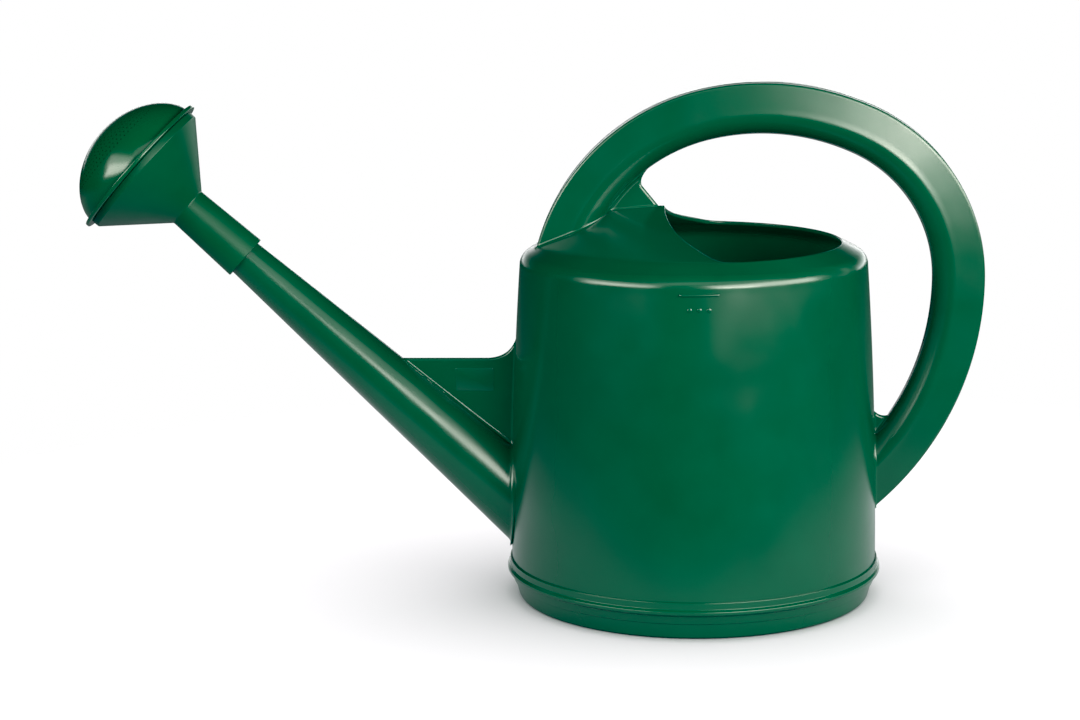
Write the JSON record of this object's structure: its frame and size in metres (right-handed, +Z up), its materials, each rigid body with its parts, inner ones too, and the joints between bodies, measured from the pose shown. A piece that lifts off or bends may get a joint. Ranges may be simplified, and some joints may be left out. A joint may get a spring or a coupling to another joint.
{
  "type": "watering can",
  "caption": "Green plastic watering can with a large loop handle, a hooded fill opening and a long straight spout with a pull-off domed rose.",
  "frame": {"origin": "middle of the can's footprint box, at the underside of the foot ring", "axes": "+Z up, +X towards the handle, -X towards the spout and rose, XZ is the plane of symmetry"},
  "size_m": [0.5426, 0.2274, 0.3105],
  "materials": {
    "can_plastic": "glossy moulded polyethylene, dark green",
    "rose_plastic": "glossy thin moulded polyethylene, dark green"
  },
  "bodies": {
    "can": {"tank_shell": "can_plastic", "base_pan": "can_plastic", "spout_tube": "can_plastic", "spout_web": "can_plastic", "handle_loop": "can_plastic", "handle_front_web": "can_plastic", "handle_rear_web": "can_plastic"},
    "rose": {"rose_funnel": "rose_plastic"},
    "rose_plate": {"rose_face": "rose_plastic"}
  },
  "joints": [
    {"name": "rose_pull_off", "type": "slide", "parent": "can", "child": "rose", "axis": [-0.742, 0, 0.6704], "range_m": [0, 0.045]},
    {"name": "face_pull_out", "type": "slide", "parent": "rose", "child": "rose_plate", "axis": [-0.742, 0, 0.6704], "range_m": [0, 0.015]}
  ]
}
